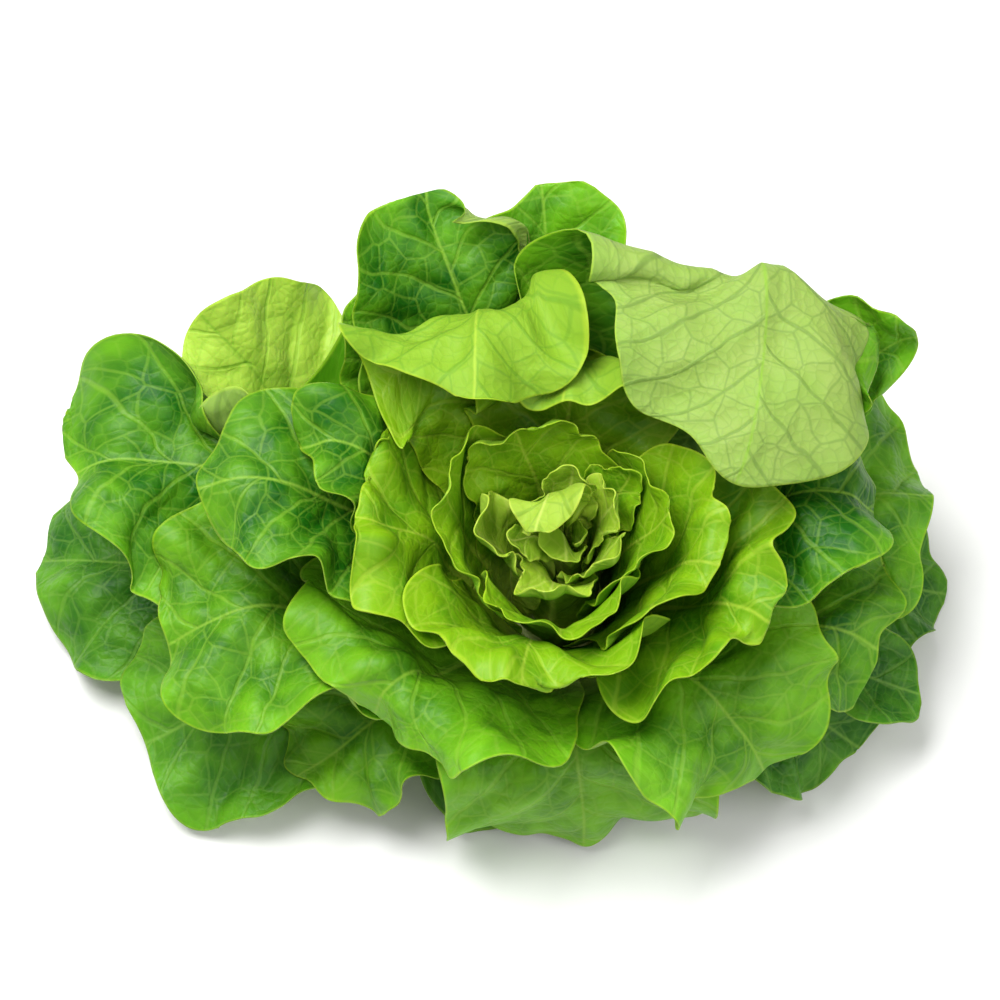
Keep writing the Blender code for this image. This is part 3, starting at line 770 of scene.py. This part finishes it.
def clearing_moves(places, nearest, wanted, reach, box, total, count):
    """Adds what takes one leaf's places to the wanted side of another: 1 inwards, -1 outwards, 0 either."""
    close = np.nonzero(((places > box[0]) & (places < box[1])).all(axis=1))[0]
    for k in close.tolist():
        place = Vector(places[k])
        spot, normal, _, distance = nearest(place, reach)
        if spot is None:
            continue
        height = (place - spot).dot(normal)
        side = wanted or math.copysign(1.0, height)
        missing = LEAF_ROOM - side * height
        beyond = math.sqrt(max(distance ** 2 - height ** 2, 0.0))
        if missing <= 0 or (distance >= LEAF_ROOM and beyond > 0.35 * abs(height) + 0.6):
            continue
        total[k] += normal * (0.6 * side * missing)
        count[k] += 1


def settle(grown, shifts, dense, rounds, ordered, firm):
    """Moves the leaves off each other, the core and the surface below, and gives each leaf's shift.

    In the first, ordered rounds each leaf goes to its own side of its neighbours; in the last, firm ones the
    moves aren't smoothed.
    """
    cells = len(grown[0]) - 1
    faces = grid_faces(cells).tolist()
    weights = finer(cells, dense)
    for turn in range(rounds):
        sheets = [shape + shift for shape, shift in zip(grown, shifts)]
        flat = [points.reshape(-1, 3) for points in sheets]
        trees = [BVHTree.FromPolygons(points.tolist(), faces) for points in flat]
        low = [points.min(axis=0) - LEAF_ROOM for points in flat]
        high = [points.max(axis=0) + LEAF_ROOM for points in flat]
        places = [np.einsum("ai,bj,ijk->abk", weights, weights, points).reshape(-1, 3) for points in sheets]
        totals = [np.zeros_like(points) for points in places]
        counts = [np.zeros(len(points)) for points in places]
        touching = 0
        for i in range(len(leaves)):
            for j in range(i + 1, len(leaves)):
                if (low[i] > high[j]).any() or (low[j] > high[i]).any():
                    continue
                crossing = bool(trees[i].overlap(trees[j]))
                touching += crossing
                in_order = crossing or turn < ordered
                share = ORDER_REACH if turn < ordered else CROSSING_REACH if crossing else 0.0
                for moved, still, wanted in ((j, i, 1.0), (i, j, -1.0)):
                    reach = max(LEAF_ROOM, share * leaves[still].half_width)
                    box = (low[still], high[still])
                    nearest = trees[still].find_nearest
                    clearing_moves(
                        places[moved], nearest, wanted * in_order, reach, box, totals[moved], counts[moved],
                    )
        for k, shape in enumerate(grown):
            moves = (totals[k] / np.maximum(counts[k], 1)[:, None]).reshape(dense + 1, dense + 1, 3)
            asked = (counts[k] > 0).astype(float).reshape(dense + 1, dense + 1)
            share = np.einsum("ai,bj,ab->ij", weights, weights, asked)
            push = np.einsum("ai,bj,abk->ijk", weights, weights, moves) / np.maximum(share, 0.6)[..., None]
            if turn < rounds - firm:
                shift = shifts[k] + 1.2 * softened(softened(push))
                shift = 0.6 * shift + 0.4 * softened(shift)
            else:
                shift = shifts[k] + push
            points = shape + shift
            points[..., 2] = np.maximum(points[..., 2], REST_HEIGHT)
            distance = np.hypot(points[..., 0], points[..., 1])
            least = core_radius(points[..., 2]) + CORE_ROOM
            buried = (distance < least) & (points[..., 2] < CORE_HEIGHT)
            points[..., :2] *= np.where(buried, least / np.maximum(distance, 1e-6), 1.0)[..., None]
            shifts[k] = points - shape
        print("settling", cells, turn, "pairs crossing", touching, flush=True)
    return shifts


def grown_shapes(cells):
    return [blade(leaf, root, cells)[0].reshape(cells + 1, cells + 1, 3) for leaf, root in zip(leaves, roots)]


coarse = grown_shapes(COARSE_CELLS)
unmoved = [np.zeros_like(shape) for shape in coarse]
shifts = settle(coarse, unmoved, 2 * COARSE_CELLS, rounds=26, ordered=12, firm=2)
shifts = [spread_out(shift, 2 * COARSE_CELLS) for shift in shifts]
shifts = [softened(softened(shift)) for shift in shifts]
shifts = settle(grown_shapes(2 * COARSE_CELLS), shifts, 2 * COARSE_CELLS, rounds=8, ordered=0, firm=3)


def leaf_piece(leaf, root, shift, material):
    """The finished leaf: the fine sheet, its two skins and the rim between them."""
    cells = FINE_CELLS if leaf.half_width > SMALL_LEAF else FINE_CELLS // 2
    points, (aside, ahead, out, margin, share, angle) = blade(leaf, root, cells)
    shift = shift.copy()
    while len(shift) - 1 < cells:
        shift = spread_out(shift, 2 * (len(shift) - 1))
        shift = softened(softened(softened(shift)))
    points = points.reshape(cells + 1, cells + 1, 3) + shift
    normal = np.cross(np.gradient(points, axis=0), np.gradient(points, axis=1)).reshape(-1, 3)
    normal /= np.maximum(np.linalg.norm(normal, axis=1, keepdims=True), 1e-9)
    points = points.reshape(-1, 3)

    # The midrib tapers from the stalk to the tip and stands out on the underside.
    start = math.radians(11 * leaf.around)
    width = leaf.foot * 0.5 * (1 - share) ** 3.5 + 0.35
    rib = np.exp(-(aside / (width + 0.8)) ** 2)
    crimp = np.sin(19 * angle + leaf.around) + 0.7 * np.sin(31 * angle + 2 * leaf.around)
    crimp = CRIMP_HEIGHT * crimp * eased((out - 0.72) / 0.28) * eased((share - 0.3) / 0.3)
    # Between the side veins the blade puffs up.
    lean = ahead + PATTERN_STEP * leaf.around - SIDE_VEIN_LEAN * np.abs(aside) ** SIDE_VEIN_CURVE
    lean += SIDE_VEIN_STAGGER * (aside > 0)
    lean += 2.5 * np.sin(ahead / 17 + 5 * start) + 3.0 * np.sin(aside / 12 + ahead / 26 + 3 * start)
    puff = np.abs(np.sin(math.pi * lean / SIDE_VEIN_STEP)) * eased(np.abs(aside) / 6) * eased(margin / 12)
    puff = min(PUFF_HEIGHT, leaf.half_width / 25) * puff * eased((share - 0.2) / 0.2)
    points = points + normal * (crimp + puff - 0.5 * rib * (1 - share))[:, None]
    half = 0.5 * LEAF_THICKNESS * (1 - 0.35 * eased((out - 0.9) / 0.1))
    swell = 1.6 * rib * (1 - share) ** 1.5
    points[:, 2] = np.maximum(points[:, 2], REST_HEIGHT)
    upper = points + normal * half[:, None]
    lower = points - normal * (half + swell)[:, None]
    lower[:, 2] = np.maximum(lower[:, 2], 0.1)
    upper[:, 2] = np.maximum(upper[:, 2], 0.3)

    count = len(points)
    faces = grid_faces(cells)
    line = np.arange(count).reshape(cells + 1, cells + 1)
    ring = np.concatenate([line[:-1, 0], line[-1, :-1], line[:0:-1, -1], line[0, :0:-1]])
    after = np.roll(ring, -1)
    rim = np.stack([after, ring, ring + count, after + count], axis=1)
    mesh = bpy.data.meshes.new(leaf.name + "_blade")
    all_faces = np.concatenate([faces, faces[:, ::-1] + count, rim])
    mesh.from_pydata((np.concatenate([upper, lower]) * MM).tolist(), [], all_faces.tolist())
    levels = {
        "tone": np.full(count, leaf.tone),
        "pale": np.full(count, leaf.pale),
        "margin": margin,
        "rib_gap": np.abs(aside) - width,
        "share": share,
    }
    for key, values in levels.items():
        mesh.attributes.new(key, "FLOAT", "POINT").data.foreach_set("value", np.tile(values, 2))
    sides = np.repeat([0.0, 1.0], count)
    mesh.attributes.new("underside", "FLOAT", "POINT").data.foreach_set("value", sides)
    corners = np.zeros(len(mesh.loops), np.int32)
    mesh.loops.foreach_get("vertex_index", corners)
    pattern = np.tile(np.stack([aside, ahead + PATTERN_STEP * leaf.around], axis=1), (2, 1))
    mesh.uv_layers.new(name="leaf_mm").data.foreach_set("uv", pattern[corners].ravel())
    mesh.materials.append(material)
    mesh.shade_smooth()
    piece = bpy.data.objects.new(leaf.name + "_blade", mesh)
    bpy.context.scene.collection.objects.link(piece)
    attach(piece, "root")
    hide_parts(leaf.name)


groups = [
    (low_leaves, low_green, "low_leaf"),
    (wrapper_leaves, wrapper_green, "wrapper_leaf"),
    (ring_leaves, ring_green, "ring_leaf"),
    (heart_leaves, heart_green, "heart_leaf"),
]
finishes = [(material, slot) for group, material, slot in groups for _ in group]
for leaf, root, shift, (material, slot) in zip(leaves, roots, shifts, finishes):
    leaf_piece(leaf, root, shift, material)

# ---- The table top, light and camera.
# A smooth white board, a large soft light over the left shoulder and light from a white room all round.

board, tree, shader = plain_material("white_board")
grain = add(tree, "ShaderNodeTexNoise", {"Scale": 400.0, "Detail": 2.0})
shade = add(
    tree, "ShaderNodeMix",
    {0: grain.outputs[0], 6: linear("#f4f4f2"), 7: linear("#f8f8f7")}, data_type="RGBA",
)
tree.links.new(shade.outputs[2], shader.inputs["Base Color"])
shader.inputs["Roughness"].default_value = 0.6
top = bmesh.new()
bmesh.ops.create_grid(top, x_segments=1, y_segments=1, size=3.0)
mesh = bpy.data.meshes.new("table_top")
top.to_mesh(mesh)
top.free()
mesh.materials.append(board)
table_top = bpy.data.objects.new("table_top", mesh)
table_top.location.z = -0.0005
bpy.context.scene.collection.objects.link(table_top)

world = bpy.data.worlds.new("white_room")
world.use_nodes = True
world.node_tree.nodes["Background"].inputs["Color"].default_value = (1.0, 1.0, 1.0, 1.0)
world.node_tree.nodes["Background"].inputs["Strength"].default_value = 0.42
bpy.context.scene.world = world
bpy.context.scene.view_settings.view_transform = "Standard"

lights = [("window_light", (-0.4, 0.2, 1.2), 0.8, 22.0), ("fill_light", (0.8, -0.5, 0.9), 0.9, 6.0)]
for name, place, size, power in lights:
    lamp = bpy.data.lights.new(name, "AREA")
    lamp.energy = power
    lamp.size = size
    light = bpy.data.objects.new(name, lamp)
    light.location = place
    light.rotation_euler = Vector(place).to_track_quat("Z", "Y").to_euler()
    bpy.context.scene.collection.objects.link(light)

CAMERA_HEIGHT = math.radians(65.5)
CAMERA_DISTANCE = 2.5
aim = Vector((-0.019, 0.005, 0.097))
back = Vector((0.0, -math.cos(CAMERA_HEIGHT), math.sin(CAMERA_HEIGHT)))
lens = bpy.data.cameras.new("camera")
lens.lens = 281.25
camera = bpy.data.objects.new("camera", lens)
camera.location = aim + CAMERA_DISTANCE * back
camera.rotation_euler = back.to_track_quat("Z", "Y").to_euler()
bpy.context.scene.collection.objects.link(camera)
bpy.context.scene.camera = camera
